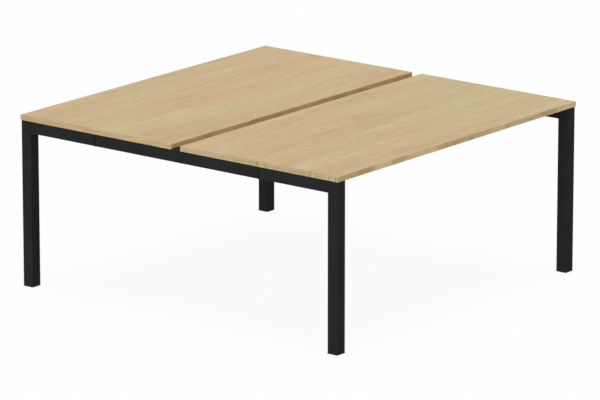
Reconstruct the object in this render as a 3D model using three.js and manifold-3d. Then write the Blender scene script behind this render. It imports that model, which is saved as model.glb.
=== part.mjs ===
// Benching desk for two: a pair of worktops back to back on a demountable steel frame.
// Millimetres, +Z up. X runs along the worktops and Y across them.
// The origin is on the floor, at the centre of the desk. Front is -Y and left is -X.
import * as THREE from 'three';
import { mergeVertices } from 'three/addons/utils/BufferGeometryUtils.js';
import Module from 'manifold-3d';

const wasm = await Module();
wasm.setup();

// Overall size
const WIDTH = 1600;
const HEIGHT = 730;
const TOP_DEPTH = 800;
const CABLE_GAP = 50;

// Worktops
const TOP_THICKNESS = 22;
const BAND_THICKNESS = 2;
const BAND_ARRIS = 1;
const GLUE_LINE = 0.1;

// Square tube of the legs and end beams
const TUBE = 50;
const TUBE_WALL = 2;
const TUBE_RADIUS = 3;
const CORNER_STEPS = 3;
const HIDDEN_STEPS = 1;
const LEAST_RADIUS = 0.5;

// How far the tops stand out over the frame
const END_OVERHANG = 1.5;
const SIDE_OVERHANG = 3;

// Clearance between pieces that touch, how far joined forms of one piece sink into each other, and how far a
// cutter runs past the face it opens
const SEAT = 0.3;
const SUNK = 1;
const CUT_PAST = 1;
const WELD_TOLERANCE = 1e-4;

// End beams: the seam is at the middle of each worktop's depth
const SEAM_Y = (TOP_DEPTH + CABLE_GAP) / 2;
const COLLAR_LENGTH = 3;
const COLLAR_PROUD = 1.2;
const SPIGOT_WALL = 4;
const SPIGOT_REACH = 70;

// Rails along the desk
const RAIL_DEPTH = 30;
const RAIL_HEIGHT = 50;
const RAIL_YS = [110, 680];
const PLATE_WIDTH = 110;
const PLATE_HEIGHT = 46;
const PLATE_THICKNESS = 5;
const PLATE_RADIUS = 5;

// Holes
const HOLE_SIDES = 8;
const HEXAGON_SIDES = 6;
const BOLT_HOLE_RADIUS = 4.5;
const BOLT_SPACING = 80;
const RIVET_NUT_RADIUS = 5.5;
const SCREW_ACCESS_RADIUS = 7;
const SCREW_HOLE_RADIUS = 3;
const RAIL_SCREW_PITCH = 600;
const ARM_SCREW_Y = [560, 740];
const CENTRE_SCREW_Y = [120, 320];
const JOINER_SCREW_RADIUS = 3.5;
const JOINER_SCREW_INSET = 35;
const JOINER_TAP_RADIUS = 2.5;

// Levelling foot, heights above the floor when it is screwed right in
const LEG_PLUG_BOTTOM = 3;
const FLANGE_THICKNESS = 4;
const FLANGE_PROUD = 0.5;
const PLUG_BASE_TOP = 12.5;
const PLUG_TOP = 31;
const PLUG_SKIRT = 44.6;
const PLUG_SKIRT_WALL = 2.4;
const PLUG_FIN = 45.8;
const PLUG_FIN_THICKNESS = 1.2;
const PLUG_FIN_HEIGHTS = [16.5, 21.5, 26.5];
const PLUG_WEB = 2;
const BOSS_RADIUS = 10;
const RECESS_RADIUS = 12;
const RECESS_TOP = 10;
const STUD_BORE_RADIUS = 4.6;
const NUT_ACROSS_FLATS = 13;
const NUT_CLEARANCE = 0.2;
const NUT_BOTTOM = 24.5;
const NUT_BORE_RADIUS = 4.25;
const STUD_RADIUS = 4;
const STUD_TOP = 48.5;
const STUD_SIDES = 16;
const STUD_CHAMFER = 1;
const SHOULDER_ACROSS_FLATS = 14;
const SHOULDER_BOTTOM = 5.7;
const SHOULDER_TOP = 9.3;
const PAD_RADIUS = 19;
const PAD_RIM_TOP = 2.5;
const PAD_HUB_RADIUS = 9.6;
const PAD_HUB_TOP = 5.4;
const PAD_SIDES = 20;
const PAD_BEVEL = 0.8;
const PAD_ROOM = 0.4;
const BUTTON_RADIUS = 6;
const BUTTON_BOTTOM = 1.6;
const BUTTON_TOP = 3.8;

// Places worked out from the sizes above
const DEPTH = 2 * TOP_DEPTH + CABLE_GAP;
const FRAME_TOP = HEIGHT - TOP_THICKNESS - SEAT;
const BEAM_Z = FRAME_TOP - TUBE / 2;
const LEG_X = WIDTH / 2 - END_OVERHANG - TUBE / 2;
const LEG_Y = DEPTH / 2 - SIDE_OVERHANG - TUBE / 2;
const LEG_BOTTOM = LEG_PLUG_BOTTOM + FLANGE_THICKNESS + SEAT;
const BEAM_INNER_X = LEG_X - TUBE / 2;
const SEAM_HALF = COLLAR_LENGTH / 2 + SEAT;
const SPIGOT = TUBE - 2 * TUBE_WALL - 2 * SEAT;
const RAIL_HALF = BEAM_INNER_X - PLATE_THICKNESS - 2 * SEAT;
const MITRE_GAP = SEAT / Math.SQRT2;

const finish = (color, roughness, metalness) => ({ color, roughness, metalness });
const OAK_FACE = finish(0xcbb48c, 0.55, 0);
const OAK_EDGE = finish(0xc0a67c, 0.55, 0);
const BLACK_STEEL = finish(0x2a2a2b, 0.6, 0.3);
const BLACK_PLASTIC = finish(0x1e1e1f, 0.5, 0);
const ZINC_STEEL = finish(0xb4b6b8, 0.35, 1);

const desk = new THREE.Group();

// Booleans

function toManifold(geometry) {
  const bare = geometry.clone();
  bare.deleteAttribute('normal');
  bare.deleteAttribute('uv');
  const merged = mergeVertices(bare, WELD_TOLERANCE);
  return new wasm.Manifold(new wasm.Mesh({
    numProp: 3,
    vertProperties: new Float32Array(merged.attributes.position.array),
    triVerts: new Uint32Array(merged.index.array),
  }));
}

function toGeometry(manifold) {
  const mesh = manifold.getMesh();
  const geometry = new THREE.BufferGeometry();
  geometry.setAttribute('position', new THREE.BufferAttribute(new Float32Array(mesh.vertProperties), 3));
  geometry.setIndex(new THREE.BufferAttribute(new Uint32Array(mesh.triVerts), 1));
  return geometry;
}

function joined(...geometries) {
  return toGeometry(geometries.map(toManifold).reduce((whole, piece) => whole.add(piece)));
}

function cut(geometry, ...tools) {
  return toGeometry(tools.map(toManifold).reduce((left, tool) => left.subtract(tool), toManifold(geometry)));
}

// Basic forms

function roundedRectangle(width, height, radius, Outline = THREE.Shape) {
  const x = width / 2 - radius;
  const y = height / 2 - radius;
  const outline = new Outline();
  outline.moveTo(x + radius, -y);
  outline.absarc(x, y, radius, 0, Math.PI / 2);
  outline.absarc(-x, y, radius, Math.PI / 2, Math.PI);
  outline.absarc(-x, -y, radius, Math.PI, 1.5 * Math.PI);
  outline.absarc(x, -y, radius, 1.5 * Math.PI, 2 * Math.PI);
  return outline;
}

function extruded(shape, from, to, curveSegments = CORNER_STEPS) {
  const depth = to - from;
  const geometry = new THREE.ExtrudeGeometry(shape, { depth, bevelEnabled: false, curveSegments });
  return geometry.translate(0, 0, from);
}

// A tube along Z, hollow from end to end, with its rounded corners made in steps
function hollowTube(width, height, wall, radius, from, to, steps) {
  const shape = roundedRectangle(width, height, radius);
  const innerRadius = Math.max(radius - wall, LEAST_RADIUS);
  shape.holes.push(roundedRectangle(width - 2 * wall, height - 2 * wall, innerRadius, THREE.Path));
  return extruded(shape, from, to, steps);
}

function rod(radius, from, to, sides) {
  const geometry = new THREE.CylinderGeometry(radius, radius, to - from, sides);
  return geometry.rotateX(Math.PI / 2).translate(0, 0, (from + to) / 2);
}

function hexagon(acrossFlats, from, to) {
  return rod(acrossFlats / Math.sqrt(3), from, to, HEXAGON_SIDES);
}

function block(width, depth, from, to) {
  return new THREE.BoxGeometry(width, depth, to - from).translate(0, 0, (from + to) / 2);
}

// Turns a form made along Z so that it runs along +Y, or along +X
const alongY = (geometry) => geometry.rotateX(-Math.PI / 2);
const alongX = (geometry) => geometry.rotateY(Math.PI / 2);

// Moves the end of a tube that lies past a mark, so that it is cut on a slope
function slopeEnd(geometry, axis, isEnd, place) {
  const position = geometry.attributes.position;
  const point = new THREE.Vector3();
  for (let i = 0; i < position.count; i += 1) {
    point.fromBufferAttribute(position, i);
    if (isEnd(point)) {
      point[axis] = place(point);
      position.setXYZ(i, point.x, point.y, point.z);
    }
  }
  return geometry;
}

function addPiece(parent, name, geometry, look) {
  const mesh = new THREE.Mesh(geometry, new THREE.MeshStandardMaterial(look));
  mesh.name = name;
  parent.add(mesh);
  return mesh;
}

// Worktops

// An edge band along X: its outer arrises are rounded, and its outer face is at -Y
function edgeBand(length) {
  const half = TOP_THICKNESS / 2;
  const shape = new THREE.Shape();
  shape.moveTo(half, 0);
  shape.lineTo(-half, 0);
  shape.lineTo(-half, BAND_ARRIS - BAND_THICKNESS);
  shape.absarc(BAND_ARRIS - half, BAND_ARRIS - BAND_THICKNESS, BAND_ARRIS, Math.PI, 1.5 * Math.PI);
  shape.absarc(half - BAND_ARRIS, BAND_ARRIS - BAND_THICKNESS, BAND_ARRIS, 1.5 * Math.PI, 2 * Math.PI);
  shape.closePath();
  return alongX(extruded(shape, -length / 2, length / 2));
}

function addWorktop(name, sideY, outerName) {
  const top = new THREE.Group();
  top.position.set(0, sideY * SEAM_Y, HEIGHT - TOP_THICKNESS / 2);
  top.rotation.z = sideY < 0 ? 0 : Math.PI;
  desk.add(top);

  const boardX = WIDTH / 2 - BAND_THICKNESS - GLUE_LINE;
  const boardY = TOP_DEPTH / 2 - BAND_THICKNESS - GLUE_LINE;
  const boardSize = [2 * boardX, 2 * boardY, TOP_THICKNESS];
  addPiece(top, `${name}_board`, new THREE.BoxGeometry(...boardSize), OAK_FACE);

  const outer = addPiece(top, `${name}_${outerName}_edge`, edgeBand(WIDTH), OAK_EDGE);
  outer.position.y = -boardY - GLUE_LINE;
  const inner = addPiece(top, `${name}_inner_edge`, edgeBand(WIDTH), OAK_EDGE);
  inner.rotation.z = Math.PI;
  inner.position.y = boardY + GLUE_LINE;

  for (const sideX of [-1, 1]) {
    const end = sideX * sideY < 0 ? 'right' : 'left';
    const band = addPiece(top, `${name}_${end}_edge`, edgeBand(2 * boardY), OAK_EDGE);
    band.rotation.z = (sideX * Math.PI) / 2;
    band.position.x = sideX * (boardX + GLUE_LINE);
  }
}

// Holes through the tubes

// A wood screw's way up through a tube: a wide hole below for the driver, a narrow one above
function screwWay(x, y) {
  const middle = BEAM_Z;
  const wide = rod(SCREW_ACCESS_RADIUS, middle - TUBE, middle, HOLE_SIDES);
  const narrow = rod(SCREW_HOLE_RADIUS, middle - SUNK, middle + TUBE, HOLE_SIDES);
  return joined(wide, narrow).translate(x, y, 0);
}

// The two rivet-nut holes behind a rail's plate, in the wall of a beam that faces the desk's middle
function rivetNutHoles(wallX, y) {
  const reach = 2 * TUBE_WALL;
  return [-1, 1].map((side) => {
    const hole = alongX(rod(RIVET_NUT_RADIUS, -reach, reach, HOLE_SIDES));
    return hole.translate(wallX, y + (side * BOLT_SPACING) / 2, BEAM_Z);
  });
}

function joinerScrewHole(y) {
  const bottom = BEAM_Z - TUBE / 2;
  return rod(JOINER_SCREW_RADIUS, bottom - CUT_PAST, bottom + 2 * TUBE_WALL, HOLE_SIDES).translate(0, y, 0);
}

// End frames. A corner is built at its leg, with the arm running along +Y

function legTube() {
  const tube = hollowTube(TUBE, TUBE, TUBE_WALL, TUBE_RADIUS, LEG_BOTTOM, FRAME_TOP);
  const atTop = (point) => point.z > LEG_BOTTOM + TUBE;
  return slopeEnd(tube, 'z', atTop, (point) => BEAM_Z - point.y - MITRE_GAP);
}

// insideX is the side of the arm that faces the desk's middle
function armTube(insideX) {
  const end = LEG_Y - SEAM_Y - SEAM_HALF;
  const tube = alongY(hollowTube(TUBE, TUBE, TUBE_WALL, TUBE_RADIUS, 0, end)).translate(0, 0, BEAM_Z);
  const atLeg = (point) => point.y < end / 2;
  slopeEnd(tube, 'y', atLeg, (point) => BEAM_Z - point.z + MITRE_GAP);
  const holes = [
    ...ARM_SCREW_Y.map((y) => screwWay(0, LEG_Y - y)),
    ...rivetNutHoles((insideX * TUBE) / 2, LEG_Y - RAIL_YS[1]),
    joinerScrewHole(end - JOINER_SCREW_INSET),
  ];
  return cut(tube, ...holes);
}

function centreBeam(insideX) {
  const half = SEAM_Y - SEAM_HALF;
  const tube = alongY(hollowTube(TUBE, TUBE, TUBE_WALL, TUBE_RADIUS, -half, half)).translate(0, 0, BEAM_Z);
  const holes = [-1, 1].flatMap((side) => [
    ...CENTRE_SCREW_Y.map((y) => screwWay(0, side * y)),
    ...rivetNutHoles((insideX * TUBE) / 2, side * RAIL_YS[0]),
    joinerScrewHole(side * (half - JOINER_SCREW_INSET)),
  ]);
  return cut(tube, ...holes);
}

// A spigot that slides into both tubes, with a collar that shows at the seam
function beamJoiner() {
  const spigotRadius = TUBE_RADIUS - SEAT;
  const spigotEnds = [-SPIGOT_REACH, SPIGOT_REACH, HIDDEN_STEPS];
  const spigot = hollowTube(SPIGOT, SPIGOT, SPIGOT_WALL, spigotRadius, ...spigotEnds);
  const collarWidth = TUBE + 2 * COLLAR_PROUD;
  const collarHeight = TUBE + COLLAR_PROUD;
  const wallWidth = (collarWidth - SPIGOT) / 2 + SUNK;
  const collarEnds = [-COLLAR_LENGTH / 2, COLLAR_LENGTH / 2];
  const collar = hollowTube(collarWidth, collarHeight, wallWidth, TUBE_RADIUS, ...collarEnds);
  const ringed = joined(spigot, collar.translate(0, COLLAR_PROUD / 2, 0));
  const screwY = SEAM_HALF + JOINER_SCREW_INSET;
  const bottom = BEAM_Z - SPIGOT / 2;
  const tapped = [-1, 1].map((side) => (
    rod(JOINER_TAP_RADIUS, bottom - CUT_PAST, bottom + 2 * SPIGOT_WALL, HOLE_SIDES)
      .translate(0, side * screwY, 0)
  ));
  return cut(alongY(ringed).translate(0, 0, BEAM_Z), ...tapped);
}

// Levelling feet

function legPlug() {
  const cutTop = PLUG_TOP + CUT_PAST;
  const flangeTop = LEG_PLUG_BOTTOM + FLANGE_THICKNESS;
  const flangeSize = TUBE + 2 * FLANGE_PROUD;
  const outline = roundedRectangle(flangeSize, flangeSize, TUBE_RADIUS);
  const flange = extruded(outline, LEG_PLUG_BOTTOM, flangeTop);
  const base = block(PLUG_SKIRT, PLUG_SKIRT, flangeTop - SUNK, PLUG_TOP);
  const finOutline = roundedRectangle(PLUG_FIN, PLUG_FIN, TUBE_RADIUS);
  const fins = PLUG_FIN_HEIGHTS.map((z) => (
    extruded(finOutline, z, z + PLUG_FIN_THICKNESS, HIDDEN_STEPS)
  ));
  const hollow = PLUG_SKIRT - 2 * PLUG_SKIRT_WALL;
  const inside = block(hollow, hollow, PLUG_BASE_TOP, cutTop);
  const wallsFrom = PLUG_BASE_TOP - SUNK;
  const span = PLUG_SKIRT - PLUG_SKIRT_WALL;
  const webs = [
    block(span, PLUG_WEB, wallsFrom, PLUG_TOP),
    block(PLUG_WEB, span, wallsFrom, PLUG_TOP),
  ];
  const boss = rod(BOSS_RADIUS, wallsFrom, PLUG_TOP, STUD_SIDES);
  const shell = cut(joined(flange, base, ...fins), inside);
  const body = joined(shell, ...webs, boss);
  const recess = rod(RECESS_RADIUS, LEG_PLUG_BOTTOM - CUT_PAST, RECESS_TOP, STUD_SIDES);
  const bore = rod(STUD_BORE_RADIUS, LEG_PLUG_BOTTOM, cutTop, STUD_SIDES);
  const pocket = hexagon(NUT_ACROSS_FLATS + 2 * NUT_CLEARANCE, NUT_BOTTOM, cutTop);
  return cut(body, recess, bore, pocket);
}

function footNut() {
  const nut = hexagon(NUT_ACROSS_FLATS, NUT_BOTTOM + NUT_CLEARANCE, PLUG_TOP);
  return cut(nut, rod(NUT_BORE_RADIUS, NUT_BOTTOM - CUT_PAST, PLUG_TOP + CUT_PAST, STUD_SIDES));
}

// The foot's button end turns in the pad, and its hexagon takes a spanner
function footStud() {
  const outline = [
    [0, BUTTON_BOTTOM],
    [BUTTON_RADIUS - STUD_CHAMFER, BUTTON_BOTTOM],
    [BUTTON_RADIUS, BUTTON_BOTTOM + STUD_CHAMFER],
    [BUTTON_RADIUS, BUTTON_TOP - STUD_CHAMFER / 2],
    [STUD_RADIUS, BUTTON_TOP],
    [STUD_RADIUS, STUD_TOP - STUD_CHAMFER],
    [STUD_RADIUS - STUD_CHAMFER, STUD_TOP],
    [0, STUD_TOP],
  ];
  const points = outline.map(([radius, z]) => new THREE.Vector2(radius, z));
  const shank = new THREE.LatheGeometry(points, STUD_SIDES).rotateX(Math.PI / 2);
  return joined(shank, hexagon(SHOULDER_ACROSS_FLATS, SHOULDER_BOTTOM, SHOULDER_TOP));
}

// A round pad with a hub that snaps over the stud's button
function footPad() {
  const outline = [
    [0, 0],
    [PAD_RADIUS - PAD_BEVEL, 0],
    [PAD_RADIUS, PAD_BEVEL],
    [PAD_RADIUS, PAD_RIM_TOP - PAD_BEVEL],
    [PAD_RADIUS - PAD_BEVEL, PAD_RIM_TOP],
    [PAD_HUB_RADIUS, PAD_RIM_TOP],
    [PAD_HUB_RADIUS, PAD_HUB_TOP - PAD_BEVEL],
    [PAD_HUB_RADIUS - PAD_BEVEL, PAD_HUB_TOP],
    [STUD_RADIUS + PAD_ROOM, PAD_HUB_TOP],
    [STUD_RADIUS + PAD_ROOM, BUTTON_TOP + PAD_ROOM],
    [BUTTON_RADIUS + PAD_ROOM, BUTTON_TOP + PAD_ROOM],
    [BUTTON_RADIUS + PAD_ROOM, BUTTON_BOTTOM - PAD_ROOM],
    [0, BUTTON_BOTTOM - PAD_ROOM],
  ];
  const points = outline.map(([radius, z]) => new THREE.Vector2(radius, z));
  return new THREE.LatheGeometry(points, PAD_SIDES).rotateX(Math.PI / 2);
}

function addCorner(name, sideX, sideY) {
  const corner = new THREE.Group();
  corner.position.set(sideX * LEG_X, sideY * LEG_Y, 0);
  corner.rotation.z = sideY < 0 ? 0 : Math.PI;
  desk.add(corner);

  const insideX = sideX * sideY;
  addPiece(corner, `${name}_leg`, legTube(), BLACK_STEEL);
  addPiece(corner, `${name}_arm`, armTube(insideX), BLACK_STEEL);
  const joiner = addPiece(corner, `${name}_joiner`, beamJoiner(), BLACK_STEEL);
  joiner.position.y = LEG_Y - SEAM_Y;

  addPiece(corner, `${name}_leg_plug`, legPlug(), BLACK_PLASTIC);
  addPiece(corner, `${name}_foot_nut`, footNut(), ZINC_STEEL);
  addPiece(corner, `${name}_foot_stud`, footStud(), ZINC_STEEL);
  addPiece(corner, `${name}_foot_pad`, footPad(), BLACK_PLASTIC);
}

// Rails and their end plates

function railTube() {
  const tube = hollowTube(RAIL_HEIGHT, RAIL_DEPTH, TUBE_WALL, TUBE_RADIUS, -RAIL_HALF, RAIL_HALF);
  const rail = alongX(tube).translate(0, 0, BEAM_Z);
  const ways = [-1, 0, 1].map((step) => screwWay(step * RAIL_SCREW_PITCH, 0));
  return cut(rail, ...ways);
}

function railPlate() {
  const shape = roundedRectangle(PLATE_HEIGHT, PLATE_WIDTH, PLATE_RADIUS);
  const half = PLATE_THICKNESS / 2;
  const plate = extruded(shape, -half, half, HIDDEN_STEPS);
  const holes = [-1, 1].map((side) => (
    rod(BOLT_HOLE_RADIUS, -PLATE_THICKNESS, PLATE_THICKNESS, HOLE_SIDES)
      .translate(0, (side * BOLT_SPACING) / 2, 0)
  ));
  return alongX(cut(plate, ...holes));
}

function addRail(name, y) {
  const rail = addPiece(desk, name, railTube(), BLACK_STEEL);
  rail.position.y = y;
  for (const [end, sideX] of [['left', -1], ['right', 1]]) {
    const plate = addPiece(desk, `${name}_${end}_plate`, railPlate(), BLACK_STEEL);
    plate.position.set(sideX * (BEAM_INNER_X - SEAT - PLATE_THICKNESS / 2), y, BEAM_Z);
  }
}

// Assembly

addWorktop('front_top', -1, 'front');
addWorktop('rear_top', 1, 'rear');

for (const [end, sideX] of [['left', -1], ['right', 1]]) {
  addCorner(`front_${end}`, sideX, -1);
  addCorner(`rear_${end}`, sideX, 1);
  const beam = addPiece(desk, `${end}_centre_beam`, centreBeam(-sideX), BLACK_STEEL);
  beam.position.x = sideX * LEG_X;
}

for (const [side, sideY] of [['front', -1], ['rear', 1]]) {
  addRail(`${side}_inner_rail`, sideY * RAIL_YS[0]);
  addRail(`${side}_outer_rail`, sideY * RAIL_YS[1]);
}

export default desk;
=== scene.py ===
"""Looks of a benching desk for two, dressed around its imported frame.

Two wood-effect worktops stand back to back on a black steel frame with levelling feet. The frame's own
nodes keep their shapes and get procedural finishes here. The new pieces are those too fine for the frame:
bolts, washers, rivet nuts, screws, weld beads, threaded studs and foot pads. Lengths are in metres and +Z is
up. X runs along the worktops, the front is at -Y and the left at -X.
"""

import logging
import math
from dataclasses import dataclass, replace
from enum import Enum
from typing import Any, Sequence

import bmesh
import bpy
import numpy as np
from mathutils import Color, Matrix, Vector


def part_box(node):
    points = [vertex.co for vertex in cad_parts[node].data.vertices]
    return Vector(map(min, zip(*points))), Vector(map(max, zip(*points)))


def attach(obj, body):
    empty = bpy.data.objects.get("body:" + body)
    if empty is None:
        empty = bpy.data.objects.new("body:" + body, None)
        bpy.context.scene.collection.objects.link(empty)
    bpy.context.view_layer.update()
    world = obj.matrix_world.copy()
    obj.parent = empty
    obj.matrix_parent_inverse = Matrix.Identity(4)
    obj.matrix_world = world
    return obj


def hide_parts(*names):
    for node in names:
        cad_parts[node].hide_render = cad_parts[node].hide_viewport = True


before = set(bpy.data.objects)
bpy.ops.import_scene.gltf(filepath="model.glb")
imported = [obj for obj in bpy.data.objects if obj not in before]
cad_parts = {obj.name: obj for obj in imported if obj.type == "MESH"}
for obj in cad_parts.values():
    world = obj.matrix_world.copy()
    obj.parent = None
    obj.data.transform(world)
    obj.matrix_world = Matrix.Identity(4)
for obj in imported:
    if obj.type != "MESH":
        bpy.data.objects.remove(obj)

LOG = logging.getLogger("benching_desk")
DESK = "desk"
MM = 0.001
TURN = 2 * math.pi
HEXAGON = 6
TINY = 1e-6
SCREEN_STEPS = 255
SPECULAR = "Specular IOR Level"

# Sockets of the Mix node when it mixes colours, by number because their names repeat
MIX_FACTOR = 0
MIX_FIRST = 6
MIX_SECOND = 7
MIX_RESULT = 2

Array = np.ndarray
Colour = tuple[float, float, float, float]
Material = bpy.types.Material
Socket = bpy.types.NodeSocket
Pair = tuple[float, float]
Shine = tuple[str, float]
Triple = tuple[float, float, float]
ORIGIN: Triple = (0.0, 0.0, 0.0)
UP: Triple = (0.0, 0.0, 1.0)
WHITE: Colour = (1.0, 1.0, 1.0, 1.0)


class Labelled(Enum):
    """An option whose name is also a part of node names."""

    @property
    def label(self) -> str:
        """The option's name as the nodes spell it."""
        return self.name.lower()


class Side(Labelled):
    """A user's side of the desk, with the sign of its Y."""

    FRONT = -1
    REAR = 1


class End(Labelled):
    """An end of the desk, with the sign of its X."""

    LEFT = -1
    RIGHT = 1


class Row(Labelled):
    """Which of a worktop's two rails is meant."""

    INNER = 0
    OUTER = 1


class Drive(Enum):
    """The recess in a screw's head."""

    HEXAGON = "hexagon"
    CROSS = "cross"


class Slot(Enum):
    """The record's material slots."""

    BLACK_STEEL = "black_steel"
    BLACK_PLASTIC = "black_plastic"
    ZINC_STEEL = "zinc_steel"


def srgb(red: int, green: int, blue: int) -> Colour:
    """Turn a colour in 0 to 255 steps, as a screen shows it, into linear light.

    Args:
        red: The red step.
        green: The green step.
        blue: The blue step.

    Returns:
        The linear colour with full alpha.
    """
    shown = Color((red / SCREEN_STEPS, green / SCREEN_STEPS, blue / SCREEN_STEPS))
    return (*shown.from_srgb_to_scene_linear(), 1.0)


def grey(tone: float) -> Colour:
    """Give an even grey in linear light."""
    return (tone, tone, tone, 1.0)


# Surfaces


def grid_quads(rows: int, columns: int, closed: bool) -> Array:
    """Index the quads of a grid whose columns wrap round.

    Args:
        rows: The number of rings.
        columns: The number of points in a ring.
        closed: Whether the last ring also joins the first.

    Returns:
        Point numbers, four for each quad.
    """
    ring = np.arange(rows if closed else rows - 1)[:, None]
    point = np.arange(columns)[None, :]
    beside = (point + 1) % columns
    here, above = ring * columns, (ring + 1) % rows * columns
    corners = (here + point, here + beside, above + beside, above + point)
    return np.stack(corners, axis=-1).reshape(-1, 4)


@dataclass(frozen=True)
class Surface:
    """A closed skin on a grid of rings, shape (rows, columns, 3), with flat caps unless its ends meet."""

    rings: Array
    closed: bool = False

    def standing(self, foot: Sequence[float], axis: Sequence[float]) -> "Surface":
        """Turn a skin that was made along +Z so that it runs along an axis.

        Two vectors square to the axis carry X and Y: the first is the world axis least along it, with its
        part along the axis taken away, and the second is the axis times the first.

        Args:
            foot: Where the skin's origin goes.
            axis: The unit direction that its +Z takes.

        Returns:
            The skin in its place.
        """
        up = np.asarray(axis, float)
        helper = np.eye(3)[np.argmin(np.abs(up))]
        across = helper - up * (helper @ up)
        basis = np.stack([across, np.cross(up, across), up])
        return Surface(self.rings @ basis + np.asarray(foot, float), self.closed)

    def faces(self) -> list[list[int]]:
        """List the quads of the skin, then its two caps if its ends are open.

        Returns:
            Point numbers, a list for each face.
        """
        rows, columns = self.rings.shape[:2]
        quads = grid_quads(rows, columns, self.closed).tolist()
        first = np.arange(columns)
        caps = [] if self.closed else [first[::-1].tolist(), (first + (rows - 1) * columns).tolist()]
        return quads + caps


def revolved(heights: Array, radii: Array, closed: bool = False) -> Surface:
    """Make a turned skin: a point is (r cos a, r sin a, h), with r given for each height and angle.

    Args:
        heights: The height of each ring.
        radii: The radius of each ring at each angle, shape (rings, angles).
        closed: Whether the outline is a loop, as on a washer.

    Returns:
        The skin along +Z.
    """
    angles = np.arange(radii.shape[1]) * TURN / radii.shape[1]
    flat = np.stack([np.cos(angles), np.sin(angles)], axis=-1)
    tall = np.broadcast_to(np.asarray(heights)[:, None, None], (*radii.shape, 1))
    return Surface(np.concatenate([radii[..., None] * flat, tall], axis=-1), closed)


def lathed(outline: Array, sides: int, closed: bool = False) -> Surface:
    """Make a round skin from an outline of (radius, height) points."""
    return revolved(outline[:, 1], np.repeat(outline[:, :1], sides, axis=1), closed)


def arc(centre: Pair, size: Pair, start: float, stop: float, steps: int = 6) -> Array:
    """Make points of an ellipse's arc: centre plus (width cos a, height sin a).

    Args:
        centre: The ellipse's centre.
        size: Its half width and half height.
        start: The first angle, in quarter turns.
        stop: The last angle, in quarter turns.
        steps: The number of steps between them.

    Returns:
        Points of shape (steps + 1, 2).
    """
    angles = np.linspace(start, stop, steps + 1) * TURN / 4
    return np.array(centre) + np.stack([size[0] * np.cos(angles), size[1] * np.sin(angles)], axis=-1)


def rounded_outline(half: Pair, radius: float, steps: int) -> Array:
    """Make a rectangle's outline with a quarter circle at each corner, counter-clockwise.

    Args:
        half: Half its width and half its height.
        radius: The corners' radius.
        steps: Steps in each corner.

    Returns:
        Points of shape (4 * (steps + 1), 2).
    """
    x, y = half[0] - radius, half[1] - radius
    corners = ((x, y), (-x, y), (-x, -y), (x, -y))
    return np.concatenate([arc(c, (radius, radius), n, n + 1, steps) for n, c in enumerate(corners)])


def even_loop(outline: Array, count: int) -> tuple[Array, Array]:
    """Space points evenly along a closed outline, by its length.

    Args:
        outline: Points of the outline, counter-clockwise.
        count: How many points to make.

    Returns:
        The points, and the unit direction at each that points out of the outline.
    """
    around = np.concatenate([outline, outline[:1]])
    length = np.concatenate([[0.0], np.cumsum(np.linalg.norm(np.diff(around, axis=0), axis=1))])
    places = np.arange(count) * length[-1] / count
    points = np.stack([np.interp(places, length, around[:, k]) for k in range(2)], axis=-1)
    along = np.roll(points, -1, axis=0) - np.roll(points, 1, axis=0)
    outward = np.stack([along[:, 1], -along[:, 0]], axis=-1)
    return points, outward / np.linalg.norm(outward, axis=1, keepdims=True)


def hexagon_radius(angles: Array, flats: float) -> Array:
    """Find a hexagon's edge: half its flats over the cosine of the angle from the nearest flat's middle."""
    sector = TURN / HEXAGON
    return flats / 2 / np.cos(np.mod(angles, sector) - sector / 2)


def cross_radius(angles: Array, reach: float, width: float) -> Array:
    """Find a plus sign's edge: the nearer of an arm's end and an arm's side."""
    folded = np.abs(np.mod(angles + TURN / 8, TURN / 4) - TURN / 8)
    return np.minimum(reach / np.cos(folded), width / 2 / np.maximum(np.sin(folded), TINY))


def box_centre(node: str) -> Array:
    """Give the middle of a node's box."""
    low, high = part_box(node)
    return (np.array(low) + np.array(high)) / 2


def inner_face(node: str, end: End) -> float:
    """Give the X of a node's face that looks to the desk's middle from one of its ends."""
    low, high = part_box(node)
    return high.x if end is End.LEFT else low.x


# Finishes


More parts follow.
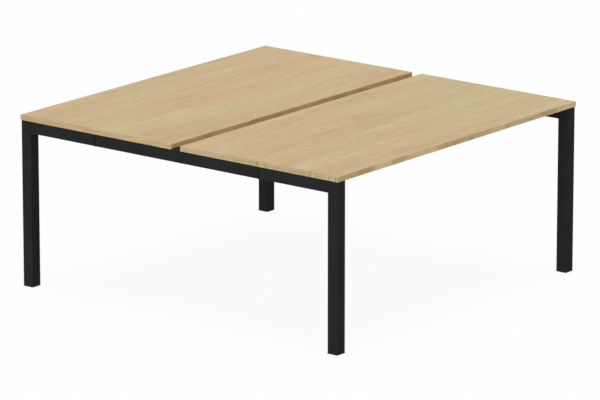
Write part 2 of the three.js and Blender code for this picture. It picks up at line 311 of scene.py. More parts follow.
class Graph:
    """A node tree of a material or a world, with short calls for the nodes that the finishes share."""

    def __init__(self, owner: Material | bpy.types.World) -> None:
        """Start an empty tree with an output.

        Args:
            owner: The material or world that the tree belongs to.
        """
        owner.use_nodes = True
        kind = "World" if isinstance(owner, bpy.types.World) else "Material"
        self.owner = owner
        self.tree = owner.node_tree
        self.tree.nodes.clear()
        self.output = self.tree.nodes.new(f"ShaderNodeOutput{kind}")
        self.coordinates = self.tree.nodes.new("ShaderNodeTexCoord")

    @classmethod
    def named(cls, name: str) -> "Graph":
        """Start the tree of a new material."""
        return cls(bpy.data.materials.new(name))

    def place(self, kind: str = "Object") -> Socket:
        """Give a place to read: a piece's own one, or for a world the direction looked in."""
        return self.coordinates.outputs[kind]

    def close(self, shader: Socket) -> None:
        """Feed the output's surface."""
        self.tree.links.new(shader, self.output.inputs["Surface"])

    def node(self, kind: str, inputs: dict[Any, Any], output: Any = 0, **settings: Any) -> Socket:
        """Add a node and feed its sockets.

        Args:
            kind: The node's type.
            inputs: A value or a socket for each input, by name or number.
            output: The output to hand back, by name or number.
            **settings: The node's own settings.

        Returns:
            The chosen output.
        """
        made = self.tree.nodes.new(kind)
        for key, value in settings.items():
            setattr(made, key, value)
        for key, value in inputs.items():
            if isinstance(value, Socket):
                self.tree.links.new(value, made.inputs[key])
            else:
                made.inputs[key].default_value = value
        return made.outputs[output]

    def maths(self, operation: str, first: Any, second: Any) -> Socket:
        """Work out one sum of two numbers."""
        return self.node("ShaderNodeMath", {0: first, 1: second}, operation=operation)

    def levels(self, value: Socket, low: float, high: float, bottom: Any = 0.0, top: float = 1.0) -> Socket:
        """Spread a value from low to high over bottom to top, and hold it there."""
        inputs = {"Value": value, "From Min": low, "From Max": high, "To Min": bottom, "To Max": top}
        return self.node("ShaderNodeMapRange", inputs)

    def mixed(self, factor: Any, first: Any, second: Any) -> Socket:
        """Mix two colours by a factor."""
        inputs = {MIX_FACTOR: factor, MIX_FIRST: first, MIX_SECOND: second}
        return self.node("ShaderNodeMix", inputs, output=MIX_RESULT, data_type="RGBA")

    def pushed(self, push: Socket) -> Socket:
        """Move the place along Y by a varying length, so that straight grain wanders."""
        offset = self.node("ShaderNodeCombineXYZ", {"Y": push})
        return self.node("ShaderNodeVectorMath", {0: self.place(), 1: offset}, operation="ADD")

    def finished(self, height: Socket, depth: float, colour: Socket, rough: Socket,
                 shine: Shine) -> Material:
        """Close the tree with a surface shader that the height map embosses.

        Args:
            height: The height map.
            depth: The relief's depth in metres.
            colour: The surface's colour.
            rough: Its roughness.
            shine: The shader's socket that sets its shine, and the value there.

        Returns:
            The finished material.
        """
        relief = self.node("ShaderNodeBump", {"Height": height, "Distance": depth, "Strength": 1.0})
        inputs = {"Base Color": colour, "Roughness": rough, shine[0]: shine[1], "Normal": relief}
        self.close(self.node("ShaderNodeBsdfPrincipled", inputs))
        return self.owner


@dataclass(frozen=True)
class Layer:
    """A layer of stretched noise. What lies from its low to its high mark is spread from bottom to top."""

    stretch: Triple
    detail: float
    low: float = 0.3
    high: float = 0.7
    bottom: float = 0.0
    top: float = 1.0
    shift: Triple = ORIGIN

    def moved(self, x: float, y: float = 0.0) -> "Layer":
        """Give the same layer read from another part of the endless noise."""
        return replace(self, shift=(x, y, 0.0))

    def read(self, graph: Graph, place: Socket | None = None) -> Socket:
        """Add the layer to a tree.

        Args:
            graph: The tree.
            place: The place to read, or the piece's own place. The stretch is in features per metre of it.

        Returns:
            The spread noise.
        """
        mapping = {"Vector": place or graph.place(), "Scale": self.stretch, "Location": self.shift}
        mapped = graph.node("ShaderNodeMapping", mapping)
        noise = graph.node("ShaderNodeTexNoise", {"Vector": mapped, "Scale": 1.0, "Detail": self.detail})
        return graph.levels(noise, self.low, self.high, self.bottom, self.top)


@dataclass(frozen=True)
class OakFace:
    """Wood-effect foil on a worktop: growth rings cut lengthwise, streaks, flecks and pores along X."""

    pale: Colour = srgb(212, 187, 147)
    deep: Colour = srgb(197, 172, 129)
    rosy: Colour = srgb(206, 175, 136)
    straw: Colour = srgb(206, 190, 148)
    line: Colour = srgb(166, 138, 97)
    pore: Colour = srgb(138, 110, 74)
    wander: Layer = Layer((1.5, 3.0, 1.0), 2.0, 0.25, 0.75, -9 * MM, 9 * MM)
    slow: Layer = Layer((0.24, 3.8, 1.0), 2.0, 0.0, 1.0)
    streak: Layer = Layer((2.2, 40.0, 1.0), 4.0, 0.34, 0.68)
    band: Layer = Layer((1.2, 7.0, 1.0), 5.0, 0.37, 0.63)
    shade: Layer = Layer((0.3, 9.0, 1.0), 3.0, 0.37, 0.63, 0.0, 0.15)
    cast: Layer = Layer((0.9, 5.0, 1.0), 2.0, 0.35, 0.65, 0.3, 0.85)
    lines: Layer = Layer((3.2, 170.0, 1.0), 3.0, 0.54, 0.7, 0.0, 0.36)
    flecks: Layer = Layer((20.0, 230.0, 1.0), 2.0, 0.5, 0.72, 0.0, 0.44)
    pores: Layer = Layer((42.0, 1100.0, 1.0), 2.0, 0.58, 0.7, 0.0, 0.42)
    rings: float = 20.0
    ring_start: float = -0.2
    ring_strength: float = 0.07
    pore_least: float = 0.45
    pore_most: float = 0.4
    rough: Pair = (0.54, 0.66)
    streak_height: float = 0.3
    shine: Shine = (SPECULAR, 0.1)
    relief: float = 0.04 * MM

    def build(self) -> Material:
        """Make the material.

        The rings are the level lines of a slow noise that is stretched along X: the sine of that noise times
        a number of turns, so that they crowd where it is steep and open into long arches where it is flat.

        Returns:
            The finished material.
        """
        graph = Graph.named("oak_face")
        grain = graph.pushed(self.wander.read(graph))
        turns = graph.maths("MULTIPLY", self.slow.read(graph, grain), self.rings * TURN)
        ring = graph.levels(graph.maths("SINE", turns, 0.0), self.ring_start, 1.0)
        streak = self.streak.read(graph, grain)
        pore_share = graph.levels(ring, 0.0, 1.0, self.pore_least, 1.0)
        pores = graph.maths("MULTIPLY", self.pores.read(graph, grain), pore_share)
        tint = graph.mixed(self.band.read(graph, grain), self.rosy, self.straw)
        colour = graph.mixed(streak, self.pale, self.deep)
        colour = graph.mixed(self.cast.read(graph, grain), colour, tint)
        colour = graph.mixed(graph.levels(ring, 0.0, 1.0, 0.0, self.ring_strength), colour, self.line)
        colour = graph.mixed(self.shade.read(graph), colour, self.line)
        colour = graph.mixed(self.lines.read(graph, grain), colour, self.line)
        colour = graph.mixed(self.flecks.read(graph, grain), colour, self.line)
        colour = graph.mixed(pores, colour, self.pore)
        rough = graph.levels(pores, 0.0, self.pore_most, *self.rough)
        height = graph.maths("SUBTRACT", graph.maths("MULTIPLY", streak, self.streak_height), pores)
        return graph.finished(height, self.relief, colour, rough, self.shine)


@dataclass(frozen=True)
class OakEdge:
    """Wood-effect edge band: grain along it with brown patches, and ticks across it for end grain."""

    name: str
    pale: Colour
    deep: Colour
    patches: float
    ticks: float = 0.0
    brown: Colour = srgb(152, 120, 77)
    tick: Colour = srgb(150, 126, 76)
    figure: Layer = Layer((3.0, 9.0, 55.0), 4.0, 0.3, 0.72)
    grain: Layer = Layer((14.0, 14.0, 420.0), 2.0)
    patch: Layer = Layer((10.0, 7.0, 36.0), 2.0, 0.54, 0.63)
    across: Layer = Layer((4.0, 130.0, 4.0), 3.0, 0.46, 0.62)
    zone: Layer = Layer((2.0, 5.0, 1.0), 1.0, 0.4, 0.6, 0.2, 1.0)
    rough: Pair = (0.5, 0.62)
    shine: Shine = (SPECULAR, 0.1)
    relief: float = 0.012 * MM

    def build(self) -> Material:
        """Make the material.

        Returns:
            The finished material.
        """
        graph = Graph.named(self.name)
        grain = self.grain.read(graph)
        patch = graph.maths("MULTIPLY", self.patch.read(graph), self.patches)
        ticks = graph.maths("MULTIPLY", self.across.read(graph), self.zone.read(graph))
        colour = graph.mixed(self.figure.read(graph), self.pale, self.deep)
        colour = graph.mixed(patch, colour, self.brown)
        colour = graph.mixed(graph.maths("MULTIPLY", ticks, self.ticks), colour, self.tick)
        rough = graph.levels(grain, 0.0, 1.0, *self.rough)
        return graph.finished(grain, self.relief, colour, rough, self.shine)


@dataclass(frozen=True)
class CloudyFinish:
    """A finish that drifts between two tones, under a fine skin that sets its roughness and relief."""

    name: str
    first: Colour
    second: Colour
    rough: Pair
    cloud: Layer
    skin: Layer
    relief: float
    shine: Shine

    def build(self) -> Material:
        """Make the material.

        Returns:
            The finished material.
        """
        graph = Graph.named(self.name)
        skin = self.skin.read(graph)
        colour = graph.mixed(self.cloud.read(graph), self.first, self.second)
        rough = graph.levels(skin, 0.0, 1.0, *self.rough)
        return graph.finished(skin, self.relief, colour, rough, self.shine)


@dataclass(frozen=True)
class PowderCoat(CloudyFinish):
    """Matt black powder coat with a fine orange peel."""

    name: str = "powder_coat"
    first: Colour = (0.0195, 0.0198, 0.0202, 1.0)
    second: Colour = (0.0245, 0.0248, 0.0253, 1.0)
    rough: Pair = (0.51, 0.63)
    cloud: Layer = Layer((5.0, 5.0, 5.0), 3.0)
    skin: Layer = Layer((520.0, 520.0, 520.0), 2.0)
    relief: float = 0.02 * MM
    shine: Shine = (SPECULAR, 0.015)


@dataclass(frozen=True)
class MouldedPlastic(CloudyFinish):
    """Black moulded plastic with a spark-eroded skin."""

    name: str = "moulded_plastic"
    first: Colour = (0.007, 0.007, 0.0072, 1.0)
    second: Colour = (0.014, 0.014, 0.0144, 1.0)
    rough: Pair = (0.44, 0.56)
    cloud: Layer = Layer((60.0, 60.0, 60.0), 2.0)
    skin: Layer = Layer((1500.0, 1500.0, 1500.0), 2.0)
    relief: float = 0.012 * MM
    shine: Shine = (SPECULAR, 0.35)


@dataclass(frozen=True)
class PlatedSteel(CloudyFinish):
    """Plated steel with cloudy colour and fine scratches, bright unless it is given other tones."""

    name: str = "bright_zinc"
    first: Colour = (0.56, 0.58, 0.6, 1.0)
    second: Colour = (0.44, 0.45, 0.45, 1.0)
    rough: Pair = (0.26, 0.42)
    cloud: Layer = Layer((220.0, 220.0, 220.0), 3.0)
    skin: Layer = Layer((900.0, 900.0, 2600.0), 2.0)
    relief: float = 0.004 * MM
    shine: Shine = ("Metallic", 1.0)


@dataclass(frozen=True)
class Finishes:
    """Every finish of the desk, built once."""

    face: Material
    plain_edge: Material
    ticked_edge: Material
    long_edge: Material
    # The inner edges' band carries painted light for the shaded gap between the worktops.
    inner_edge: Material
    steel: Material
    # Darker than the frame's coat: painted shade for the shadow gaps at the joiners.
    joiner_steel: Material
    plastic: Material
    zinc: Material
    black_zinc: Material

    @classmethod
    def build(cls) -> "Finishes":
        """Build the finishes.

        The edge bands read the endless noise at places where its patches lie about as on the real desk.

        Returns:
            The set of finishes.
        """
        plain = OakEdge(
            name="oak_plain_edge", pale=srgb(201, 180, 138), deep=srgb(180, 154, 112), patches=0.15,
            figure=OakEdge.figure.moved(1245.3), patch=OakEdge.patch.moved(1535.9),
        )
        ticked = OakEdge(
            name="oak_ticked_edge", pale=srgb(204, 186, 148), deep=srgb(187, 165, 125), patches=0.15,
            ticks=0.8, figure=OakEdge.figure.moved(1154.7), patch=OakEdge.patch.moved(90.7),
            across=OakEdge.across.moved(805.1), zone=OakEdge.zone.moved(-921.9),
        )
        long = OakEdge(
            name="oak_long_edge", pale=srgb(214, 189, 143), deep=srgb(194, 167, 121), patches=0.38,
            figure=Layer((4.0, 9.0, 14.0), 3.0, 0.4, 0.6).moved(0.0, 5212.96),
            patch=Layer((10.0, 7.0, 10.0), 2.0, 0.52, 0.6).moved(0.0, -218.72),
        )
        # The inner edge band is lighter and redder than the other bands: painted light that makes up for the
        # shade in the gap between the worktops and for the warm light bounced across it.
        inner = OakEdge(
            name="oak_inner_edge", pale=srgb(226, 192, 142), deep=srgb(208, 171, 121), patches=0.3,
        )
        # The joiners' coat is darker than the frame's: painted shade that stands for the shadow gaps on
        # either side of each joiner.
        joiner = PowderCoat(
            name="joiner_coat", first=(0.008, 0.008, 0.0082, 1.0), second=(0.0105, 0.0105, 0.0108, 1.0),
        )
        black = PlatedSteel(
            name="black_zinc", first=(0.035, 0.035, 0.037, 1.0), second=(0.02, 0.02, 0.021, 1.0),
            rough=(0.34, 0.5),
        )
        return cls(
            face=OakFace().build(),
            plain_edge=plain.build(),
            ticked_edge=ticked.build(),
            long_edge=long.build(),
            inner_edge=inner.build(),
            steel=PowderCoat().build(),
            joiner_steel=joiner.build(),
            plastic=MouldedPlastic().build(),
            zinc=PlatedSteel().build(),
            black_zinc=black.build(),
        )


def dress(material: Material, *nodes: str) -> None:
    """Give frame nodes a finish in place of their plain one.

    Args:
        material: The finish.
        *nodes: The nodes' names.
    """
    for name in nodes:
        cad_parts[name].material_slots[0].material = material
        LOG.info("%s is finished in %s", name, material.name)


def add_piece(name: str, surface: Surface, material: Material, body: str = DESK,
              smooth: float = 35.0) -> bpy.types.Object:
    """Make a new piece whose place is in its mesh, and let it ride on a body.

    Args:
        name: The piece's name.
        surface: Its skin.
        material: Its finish.
        body: The body that carries it.
        smooth: Edges sharper than this many degrees stay sharp.

    Returns:
        The new object.
    """
    mesh = bpy.data.meshes.new(name)
    mesh.from_pydata(surface.rings.reshape(-1, 3).tolist(), [], surface.faces())
    builder = bmesh.new()
    builder.from_mesh(mesh)
    bmesh.ops.recalc_face_normals(builder, faces=builder.faces)
    builder.to_mesh(mesh)
    builder.free()
    mesh.shade_smooth()
    mesh.set_sharp_from_angle(angle=math.radians(smooth))
    mesh.materials.append(material)
    piece = bpy.data.objects.new(name, mesh)
    bpy.context.scene.collection.objects.link(piece)
    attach(piece, body)
    LOG.info("%s rides on %s", name, body)
    return piece


# Fasteners and welds


@dataclass(frozen=True)
class Screw:
    """A screw with a domed head. It is made along +Z, with its seat at height 0 and its head below."""

    head_radius: float
    head_height: float
    shank_radius: float
    length: float
    tip: float
    drive: Drive
    drive_size: float
    drive_depth: float
    sides: int = 48
    rim: float = 0.5 * MM
    face: float = 0.62
    tip_share: float = 0.4
    drive_taper: float = 0.82
    cross_ratio: float = 2.6

    def surface(self) -> Surface:
        """Carry rings from the drive's floor over the head and up the shank.

        The head is a quarter of an ellipse between its face and its rim. The drive's rings have the radius
        of a hexagon or a plus sign at each angle, and all others are circles.

        Returns:
            The screw's skin.
        """
        angles = np.arange(self.sides) * TURN / self.sides
        if self.drive is Drive.HEXAGON:
            recess = hexagon_radius(angles, self.drive_size)
        else:
            recess = cross_radius(angles, self.drive_size, self.drive_size / self.cross_ratio)
        face = self.face * self.head_radius
        dome = arc((face, -self.rim), (self.head_radius - face, self.head_height - self.rim), -1, 0)
        shank = np.array([
            [self.head_radius, 0.0],
            [self.shank_radius, 0.0],
            [self.shank_radius, self.length - self.tip],
            [self.shank_radius * self.tip_share, self.length],
        ])
        outline = np.concatenate([dome, shank])
        heights = np.concatenate([[self.drive_depth - self.head_height, -self.head_height], outline[:, 1]])
        rounds = np.repeat(outline[:, :1], self.sides, axis=1)
        return revolved(heights, np.concatenate([self.drive_taper * recess[None], recess[None], rounds]))


WORKTOP_SCREW = Screw(
    head_radius=4.6 * MM, head_height=2.8 * MM, shank_radius=2.2 * MM, length=18.0 * MM, tip=4.0 * MM,
    drive=Drive.CROSS, drive_size=2.3 * MM, drive_depth=1.6 * MM,
)


def add_worktop_screw(name: str, seat: Sequence[float], finishes: Finishes) -> None:
    """Put one worktop screw with its head against the inside of a tube's top wall."""
    add_piece(name, WORKTOP_SCREW.surface().standing(seat, UP), finishes.zinc)


@dataclass(frozen=True)
class Washer:
    """A plain washer with eased rims, made along +Z from height 0."""

    bore: float = 4.2 * MM
    radius: float = 8.0 * MM
    thickness: float = 1.6 * MM
    ease: float = 0.25 * MM
    sides: int = 48

    def surface(self) -> Surface:
        """Turn the washer's section, a loop of six points.

        Returns:
            The washer's skin.
        """
        outline = np.array([
            [self.bore, 0.0],
            [self.radius - self.ease, 0.0],
            [self.radius, self.ease],
            [self.radius, self.thickness - self.ease],
            [self.radius - self.ease, self.thickness],
            [self.bore, self.thickness],
        ])
        return lathed(outline, self.sides, closed=True)


@dataclass(frozen=True)
class RivetNut:
    """A rivet nut in a tube's wall. It is made along +Z into the tube from the wall's outside at 0."""

    flange: float = 6.6 * MM
    flange_thickness: float = 0.25 * MM
    barrel: float = 5.0 * MM
    bulge: float = 7.4 * MM
    bulge_half: float = 1.5 * MM
    bulge_steps: int = 8
    bore: float = 4.0 * MM
    wall: float = 2.0 * MM
    length: float = 15.0 * MM
    sides: int = 40

    def surface(self) -> Surface:
        """Turn the nut's section: a thin flange, the barrel, and the bulge that grips the wall from behind.

        Returns:
            The nut's skin.
        """
        middle = (self.barrel, self.wall + self.bulge_half)
        swell = (self.bulge - self.barrel, self.bulge_half)
        outline = np.concatenate([
            [[self.bore, -self.flange_thickness], [self.flange, -self.flange_thickness]],
            [[self.flange, 0.0], [self.barrel, 0.0]],
            arc(middle, swell, -1, 1, self.bulge_steps),
            [[self.barrel, self.length], [self.bore, self.length]],
        ])
        return lathed(outline, self.sides, closed=True)


@dataclass(frozen=True)
class WeldBead:
    """A fillet weld with a rippled face."""

    leg: float = 3.0 * MM
    ripple_pitch: float = 2.4 * MM
    ripple_depth: float = 0.3 * MM
    ripple_middle: float = 0.6
    root: float = 0.4 * MM
    bow: float = 1.3
    face_points: int = 8
    samples: int = 6

    def profile(self) -> Array:
        """Make the bead's section: a gently convex face between the two toes, and a root sunk in the corner.

        A point of the face at angle a is leg times (cos a, sin a), both raised to a power that flattens it.

        Returns:
            Points of shape (n, 2).
        """
        face = np.sin(np.linspace(0.0, 1.0, self.face_points) * TURN / 4) ** self.bow
        bowed = self.leg * np.stack([face[::-1], face], axis=-1)
        root = np.array([[-self.root, self.leg], [-self.root, -self.root], [self.leg, -self.root]])
        return np.concatenate([bowed, root])

    def steps(self, length: float) -> int:
        """Count the steps along a bead, a few to each ripple."""
        return self.samples * round(length / self.ripple_pitch)

    def swept(self, path: Array, across: Array, along: Array, taper: Array, closed: bool) -> Surface:
        """Carry the section along a path, swelling and shrinking it by an arched ripple.

        Args:
            path: The corner's points, shape (n, 3).
            across: The unit direction of one toe at each point.
            along: The unit direction of the other toe.
            taper: The section's size at each point, before the ripple.
            closed: Whether the path is a loop.

        Returns:
            The bead's skin.
        """
        ripple = np.abs(np.sin(np.arange(len(path)) * TURN / 2 / self.samples))
        size = taper * (1 + self.ripple_depth / self.leg * (ripple - self.ripple_middle))
        section = self.profile()[None] * size[:, None, None]
        rings = path[:, None] + section[..., :1] * across[:, None] + section[..., 1:] * along
        return Surface(rings, closed)


# Sub-assemblies


@dataclass(frozen=True)
class Worktop:
    """A worktop: a faced board with an edge band on each of its four edges."""

    side: Side
    finishes: Finishes

    def build(self) -> None:
        """Dress the board and its bands."""
        name = f"{self.side.label}_top"
        dress(self.finishes.face, f"{name}_board")
        dress(self.finishes.long_edge, f"{name}_{self.side.label}_edge")
        # The inner edges take the lighter band, painted light for the shade in the gap.
        dress(self.finishes.inner_edge, f"{name}_inner_edge")
        end_edge = self.finishes.ticked_edge if self.side is Side.FRONT else self.finishes.plain_edge
        dress(end_edge, f"{name}_left_edge", f"{name}_right_edge")


@dataclass(frozen=True)
class EndFrame:
    """An end frame: two legs with arms mitred to them, a centre beam between the arms, and their joiners."""

    end: End
    finishes: Finishes
    half: float = 25.0 * MM
    wall: float = 2.0 * MM
    corner: float = 3.0 * MM
    corner_steps: int = 3
    mitre_gap: float = 0.3 * MM / math.sqrt(2)
    bead_half: float = 22.0 * MM
    bead_run: float = 12.0
    bead_tip: float = 0.35
    screw_places: tuple[float, ...] = (120.0 * MM, 320.0 * MM, 560.0 * MM, 740.0 * MM)
    joiner_screw_places: tuple[float, ...] = (388.2 * MM, 461.8 * MM)
    bead: WeldBead = WeldBead()
    joiner_screw: Screw = Screw(
        head_radius=5.2 * MM, head_height=2.2 * MM, shank_radius=2.9 * MM, length=9.0 * MM, tip=0.8 * MM,
        drive=Drive.HEXAGON, drive_size=4.0 * MM, drive_depth=1.5 * MM,
    )

    def build(self) -> None:
        """Dress the tubes, fill the mitres and add the screws."""
        dress(self.finishes.steel, f"{self.end.label}_centre_beam")
        for side in Side:
            corner = f"{side.label}_{self.end.label}"
            dress(self.finishes.steel, f"{corner}_leg", f"{corner}_arm")
            # The joiners take the darker coat, painted shade for the shadow gaps at the seams.
            dress(self.finishes.joiner_steel, f"{corner}_joiner")
            self.add_mitre_weld(corner, side)
            self.add_corner_bead(corner, side)
            self.add_screws(corner, side)

    def mitre_origin(self, corner: str) -> Array:
        """Give the point where a leg's axis meets its arm's."""
        leg, arm = box_centre(f"{corner}_leg"), box_centre(f"{corner}_arm")
        return np.array([leg[0], leg[1], arm[2]])

    def add_mitre_weld(self, corner: str, side: Side) -> None:
        """Fill the mitre's gap with a weld that is ground flush.

        The tube's outline lies on the 45 degree plane: a point (x, y) of it has height -y. The rings are the
        leg's cut and the arm's outside the tube, then the arm's and the leg's inside it.

        Args:
            corner: The corner's name.
            side: The side that it is on.
        """
        outer = rounded_outline((self.half, self.half), self.corner, self.corner_steps)
        inner = rounded_outline((self.half - self.wall,) * 2, self.corner - self.wall, self.corner_steps)
        gap = self.mitre_gap
        rings = np.stack([
            np.stack([line[:, 0], line[:, 1] + gap * step, -line[:, 1] - gap * (1 - step)], axis=-1)
            for line, step in ((outer, 0), (outer, 1), (inner, 1), (inner, 0))
        ])
        placed = rings * np.array([1.0, -side.value, 1.0]) + self.mitre_origin(corner)
        surface = Surface(placed, closed=True)
        add_piece(f"{corner}_mitre_weld", surface, self.finishes.steel)

    def add_corner_bead(self, corner: str, side: Side) -> None:
        """Lay a bead in the inside corner between leg and arm, tapering at both ends.

        Args:
            corner: The corner's name.
            side: The side that it is on.
        """
        count = self.bead.steps(2 * self.bead_half)
        span = np.linspace(-1.0, 1.0, count)
        inside = -side.value
        start = self.mitre_origin(corner) + np.array([0.0, inside * self.half, -self.half])
        path = start + span[:, None] * np.array([self.bead_half, 0.0, 0.0])
        across = np.broadcast_to(np.array([0.0, inside, 0.0]), path.shape)
        taper = np.clip((1 - np.abs(span)) * self.bead_run, self.bead_tip, 1.0)
        surface = self.bead.swept(path, across, np.array([0.0, 0.0, -1.0]), taper, closed=False)
        add_piece(f"{corner}_corner_bead", surface, self.finishes.steel)

    def add_screws(self, corner: str, side: Side) -> None:
        """Put in a joiner's two screws from below, and those that go up through the top wall into the board.

        Args:
            corner: The corner's name.
            side: The side that it is on.
        """
        x = box_centre(f"{corner}_arm")[0]
        low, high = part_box(f"{corner}_arm")
        for number, place in enumerate(self.joiner_screw_places, 1):
            surface = self.joiner_screw.surface().standing((x, side.value * place, low.z), UP)
            add_piece(f"{corner}_joiner_screw_{number}", surface, self.finishes.black_zinc)
        for number, place in enumerate(self.screw_places, 1):
            seat = (x, side.value * place, high.z - self.wall)
            add_worktop_screw(f"{corner}_top_screw_{number}", seat, self.finishes)


@dataclass(frozen=True)
class Rail:
    """A rail along the desk, with a plate welded to each end and bolted to the end frames."""

    side: Side
    row: Row
    finishes: Finishes
    corner: float = 3.0 * MM
    corner_steps: int = 6
    wall: float = 2.0 * MM
    bolt_offset: float = 40.0 * MM
    screw_places: tuple[float, ...] = (-600.0 * MM, 0.0, 600.0 * MM)
    bead: WeldBead = WeldBead()
    washer: Washer = Washer()
    rivet_nut: RivetNut = RivetNut()
    bolt: Screw = Screw(
        head_radius=7.0 * MM, head_height=4.4 * MM, shank_radius=3.9 * MM, length=20.0 * MM, tip=1.0 * MM,
        drive=Drive.HEXAGON, drive_size=5.0 * MM, drive_depth=2.6 * MM,
    )

    @property
    def name(self) -> str:
        """The rail's node."""
        return f"{self.side.label}_{self.row.label}_rail"

    def build(self) -> None:
        """Dress the rail and its plates, and add welds, bolts and screws."""
        dress(self.finishes.steel, self.name)
        centre, seat = box_centre(self.name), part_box(self.name)[1].z - self.wall
        for end in End:
            dress(self.finishes.steel, self.plate(end))
            self.add_plate_weld(end)
            self.add_bolts(end)
        for number, x in enumerate(self.screw_places, 1):
            add_worktop_screw(f"{self.name}_top_screw_{number}", (x, centre[1], seat), self.finishes)

    def plate(self, end: End) -> str:
        """Give the node of the plate at an end."""
        return f"{self.name}_{end.label}_plate"

    def add_plate_weld(self, end: End) -> None:
        """Weld the rail to a plate all round: the bead follows the rail's rounded outline.

        Args:
            end: The end that the plate is at.
        """
        low, high = (np.array(corner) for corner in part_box(self.name))
        half = (high - low)[1:] / 2
        outline = rounded_outline((half[0], half[1]), self.corner, self.corner_steps)
        count = self.bead.steps(4 * float(half.sum()))
        flat, outward = even_loop(outline, count)
        across = np.concatenate([np.zeros((count, 1)), outward], axis=1)
        path = np.concatenate([np.zeros((count, 1)), flat], axis=1)
        path += np.array([inner_face(self.plate(end), end), *((low + high) / 2)[1:]])
        inward = np.array([-float(end.value), 0.0, 0.0])
        surface = self.bead.swept(path, across, inward, np.ones(count), closed=True)
        add_piece(f"{self.name}_{end.label}_weld", surface, self.finishes.steel)

    def add_bolts(self, end: End) -> None:
        """Bolt a plate to the beam behind it, with washers under the heads and rivet nuts in the beam.

        Args:
            end: The end that the plate is at.
        """
        face, centre = inner_face(self.plate(end), end), box_centre(self.name)
        outward = (float(end.value), 0.0, 0.0)
        for number, step in enumerate((-1, 1), 1):
            y, z = centre[1] + step * self.bolt_offset, centre[2]
            seat = face - end.value * self.washer.thickness
            parts = {
                "bolt": (self.bolt.surface(), seat),
                "washer": (self.washer.surface(), seat),
                "rivet_nut": (self.rivet_nut.surface(), inner_face(f"{end.label}_centre_beam", end)),
            }
            for part, (surface, x) in parts.items():
                name = f"{self.name}_{end.label}_{part}_{number}"
                add_piece(name, surface.standing((x, y, z), outward), self.finishes.zinc)


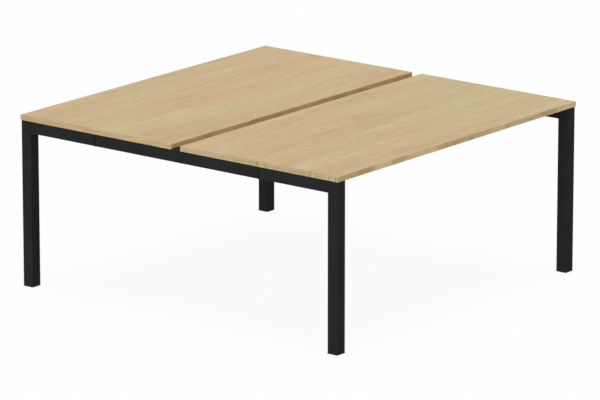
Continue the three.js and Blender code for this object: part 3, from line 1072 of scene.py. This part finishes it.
@dataclass(frozen=True)
class LevellingFoot:
    """A levelling foot: a plug and its nut in the leg, and a threaded stud that turns in a round pad."""

    side: Side
    end: End
    finishes: Finishes
    sides: int = 48
    pad_sides: int = 96
    button: float = 6.0 * MM
    button_top: float = 2.2 * MM
    neck: float = 4.0 * MM
    shoulder_flats: float = 14.0 * MM
    shoulder: Pair = (4.1 * MM, 7.7 * MM)
    thread_top: float = 46.9 * MM
    pitch: float = 1.25 * MM
    thread_depth: float = 0.68 * MM
    rows_per_pitch: int = 8
    groove_slope: float = 1.5
    crest: float = 0.2
    ease: float = 0.5 * MM
    flat_ease: float = 0.1 * MM
    pad_radius: float = 19.0 * MM
    pad_edge: float = 0.8 * MM
    sole: float = 4.0 * MM
    sole_step: Pair = (1.0 * MM, 0.6 * MM)
    rim_top: float = 2.5 * MM
    hub: float = 9.6 * MM
    hub_top: float = 5.4 * MM
    hub_edge: float = 0.7 * MM
    hub_steps: int = 4
    bore_edge: float = 0.3 * MM
    pocket_floor: float = 1.2 * MM
    room: float = 0.4 * MM

    @property
    def corner(self) -> str:
        """The corner's name."""
        return f"{self.side.label}_{self.end.label}"

    def build(self) -> None:
        """Dress the plug and nut, and replace the plain stud and pad."""
        dress(self.finishes.plastic, f"{self.corner}_leg_plug")
        dress(self.finishes.zinc, f"{self.corner}_foot_nut")
        self.add("stud", self.stud(), self.finishes.zinc, Slot.ZINC_STEEL)
        self.add("pad", self.pad(), self.finishes.plastic, Slot.BLACK_PLASTIC)

    def add(self, part: str, surface: Surface, material: Material, slot: Slot) -> None:
        """Stand a new stud or pad in the place of its node.

        Args:
            part: The part's name.
            surface: Its skin along +Z, with its lowest point at height 0.
            material: Its finish.
            slot: The record's slot, which is not used.
        """
        node = f"{self.corner}_foot_{part}"
        centre = box_centre(node)
        foot = (centre[0], centre[1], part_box(node)[0].z)
        body = f"{self.corner}_{part}"
        placed = surface.standing(foot, UP)
        piece = add_piece(f"{self.corner}_fine_{part}", placed, material, body)
        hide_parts(node)

    def stud(self) -> Surface:
        """Make the stud: a button, a neck, a hexagon and an M8 thread.

        The thread is a right-hand helix. Its phase at a point is the height over the pitch less the angle
        over a turn, and the radius falls from the crest to the root and back as a clipped triangle of that
        phase. Both ends of the thread run out to a cone.

        Returns:
            The stud's skin.
        """
        angles = np.arange(self.sides) * TURN / self.sides
        low, high = self.shoulder
        ease = self.ease
        lower = np.array([
            [self.button - ease, 0.0],
            [self.button, ease],
            [self.button, self.button_top - ease],
            [self.neck, self.button_top],
            [self.neck, low],
        ])
        rounds = np.repeat(lower[:, :1], self.sides, axis=1)
        hexagon = hexagon_radius(angles, self.shoulder_flats)
        eased = np.minimum(hexagon, self.shoulder_flats / 2 + self.flat_ease)
        head = np.stack([eased, hexagon, hexagon, eased])
        head_heights = np.array([low, low + ease, high - ease, high])

        count = round((self.thread_top - high) / self.pitch) * self.rows_per_pitch
        heights = np.linspace(high, self.thread_top, count)
        phase = np.mod(heights[:, None] / self.pitch - angles[None] / TURN, 1.0)
        groove = np.clip((1 - np.abs(2 * phase - 1)) * self.groove_slope - self.crest, 0.0, 1.0)
        cone = np.minimum(heights - high, self.thread_top - heights) / self.pitch
        depth = np.maximum(groove, np.clip(1 - cone, 0.0, 1.0)[:, None])
        thread = self.neck - self.thread_depth * depth
        return revolved(
            np.concatenate([lower[:, 1], head_heights, heights]), np.concatenate([rounds, head, thread])
        )

    def pad(self) -> Surface:
        """Turn the pad: a rounded rim, a dished top, a hub, and inside it the socket for the stud's button.

        Returns:
            The pad's skin.
        """
        radius, edge, small = self.pad_radius, self.pad_edge, self.hub_edge
        sole = radius - self.sole
        bore = self.neck + self.room
        pocket = self.button + self.room
        pocket_top = self.pocket_floor + self.button_top + 2 * self.room
        outline = np.concatenate([
            [[sole - self.sole_step[0], self.sole_step[1]], [sole, 0.0]],
            arc((radius - edge, edge), (edge, edge), -1, 0),
            arc((radius - edge, self.rim_top - edge), (edge, edge), 0, 1),
            arc((self.hub + small, self.rim_top + small), (small, small), -1, -2, self.hub_steps),
            arc((self.hub - small, self.hub_top - small), (small, small), 0, 1, self.hub_steps),
            [[bore + self.bore_edge, self.hub_top], [bore, self.hub_top - self.bore_edge]],
            [[bore, pocket_top], [pocket, pocket_top], [pocket, self.pocket_floor]],
        ])
        return lathed(outline, self.pad_sides)


# Studio


@dataclass(frozen=True)
class Lamp:
    """A broad and far lamp, with the direction that its light comes from, and whether it makes glare."""

    name: str
    strength: float
    source: Triple
    spread: float
    glare: bool

    def build(self) -> None:
        """Hang the lamp."""
        light = bpy.data.lights.new(self.name, "SUN")
        light.energy = self.strength
        light.angle = math.radians(self.spread)
        lamp = bpy.data.objects.new(self.name, light)
        lamp.rotation_euler = Vector(self.source).to_track_quat("Z", "Y").to_euler()
        lamp.visible_glossy = self.glare
        bpy.context.scene.collection.objects.link(lamp)


@dataclass(frozen=True)
class Studio:
    """A pale floor, a surround that lights the desk most from its lower part, and two broad lamps."""

    floor_half: float = 60.0
    floor_tone: float = 0.8
    seen_tone: float = 0.9
    seen_glow: float = 0.94
    sky_low: float = 1.1
    sky_high: float = 0.2
    sky_span: float = 0.5
    lamps: tuple[Lamp, ...] = (
        Lamp(name="overhead_lamp", strength=2.0, source=UP, spread=50.0, glare=True),
        Lamp(name="side_lamp", strength=0.9, source=(-0.975, -0.08, 0.208), spread=25.0, glare=False),
    )

    def build(self) -> None:
        """Make the floor, the surround and the lamps."""
        self.add_floor()
        self.add_sky()
        for lamp in self.lamps:
            lamp.build()

    def add_floor(self) -> None:
        """Lay a floor that the camera sees as nearly white, with the desk's shadow left on it."""
        size = self.floor_half
        corners = [(-size, -size, 0.0), (size, -size, 0.0), (size, size, 0.0), (-size, size, 0.0)]
        mesh = bpy.data.meshes.new("floor")
        mesh.from_pydata(corners, [], [(0, 1, 2, 3)])
        floor = bpy.data.objects.new("floor", mesh)
        bpy.context.scene.collection.objects.link(floor)
        graph = Graph.named("floor")
        plain = graph.node("ShaderNodeBsdfDiffuse", {"Color": grey(self.floor_tone)})
        lit = graph.node("ShaderNodeBsdfDiffuse", {"Color": grey(self.seen_tone)})
        glow = graph.node("ShaderNodeEmission", {"Color": WHITE, "Strength": 1.0})
        seen = graph.node("ShaderNodeMixShader", {0: self.seen_glow, 1: lit, 2: glow})
        mixed = graph.node("ShaderNodeMixShader", {0: self.shown(graph), 1: plain, 2: seen})
        clear = graph.node("ShaderNodeBsdfTransparent", {})
        below = graph.node("ShaderNodeNewGeometry", {}, output="Backfacing")
        shader = graph.node("ShaderNodeMixShader", {0: below, 1: mixed, 2: clear})
        graph.close(shader)
        mesh.materials.append(graph.owner)

    @staticmethod
    def shown(graph: Graph) -> Socket:
        """Tell rays that show the surround, seen straight, mirrored or through glass, from those that light.

        Args:
            graph: The tree to add to.

        Returns:
            One for a ray that shows it, else nought.
        """
        rays = [graph.node("ShaderNodeLightPath", {}, output=f"Is {kind} Ray")
                for kind in ("Camera", "Glossy", "Transmission")]
        return graph.maths("MAXIMUM", graph.maths("MAXIMUM", rays[0], rays[1]), rays[2])

    def add_sky(self) -> None:
        """Make the surround: white where it is seen, and fading upwards where it lights the desk."""
        world = bpy.data.worlds.new("surround")
        bpy.context.scene.world = world
        graph = Graph(world)
        rise = graph.node("ShaderNodeSeparateXYZ", {0: graph.place("Generated")}, output="Z")
        fade = graph.levels(rise, 0.0, self.sky_span, self.sky_low, self.sky_high)
        strength = graph.levels(self.shown(graph), 0.0, 1.0, fade, 1.0)
        graph.close(graph.node("ShaderNodeBackground", {"Color": WHITE, "Strength": strength}))


@dataclass(frozen=True)
class PhotoCamera:
    """The camera as it stood for the photograph, fitted to the desk's edges in it."""

    azimuth: float = -51.6108
    elevation: float = 14.7586
    distance: float = 21.1095
    aim: Triple = (0.0, 0.0, 0.36)
    aside: float = 0.00151
    above: float = -0.02131
    focal_pixels: float = 5104.7
    image_width: int = 600
    sensor: float = 36.0

    def build(self) -> None:
        """Stand the camera and make it the scene's own."""
        a, e = math.radians(self.azimuth), math.radians(self.elevation)
        back = Vector((math.sin(a) * math.cos(e), -math.cos(a) * math.cos(e), math.sin(e)))
        right = Vector((math.cos(a), math.sin(a), 0.0))
        up = back.cross(right)
        place = Vector(self.aim) + back * self.distance + right * self.aside + up * self.above
        lens = bpy.data.cameras.new("photo_camera")
        lens.sensor_width = self.sensor
        lens.lens = self.focal_pixels * self.sensor / self.image_width
        camera = bpy.data.objects.new("photo_camera", lens)
        camera.matrix_world = Matrix.Translation(place) @ Matrix((right, up, back)).transposed().to_4x4()
        bpy.context.scene.collection.objects.link(camera)
        bpy.context.scene.camera = camera


def main() -> None:
    """Build the desk's looks and its studio."""
    logging.basicConfig(level=logging.INFO, format="%(message)s")
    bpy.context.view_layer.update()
    bpy.context.scene.view_settings.view_transform = "Standard"
    PhotoCamera().build()
    Studio().build()
    finishes = Finishes.build()
    for side in Side:
        Worktop(side, finishes).build()
    for end in End:
        EndFrame(end, finishes).build()
    for side in Side:
        for row in Row:
            Rail(side, row, finishes).build()
        for end in End:
            LevellingFoot(side, end, finishes).build()


if __name__ == "__main__":
    main()
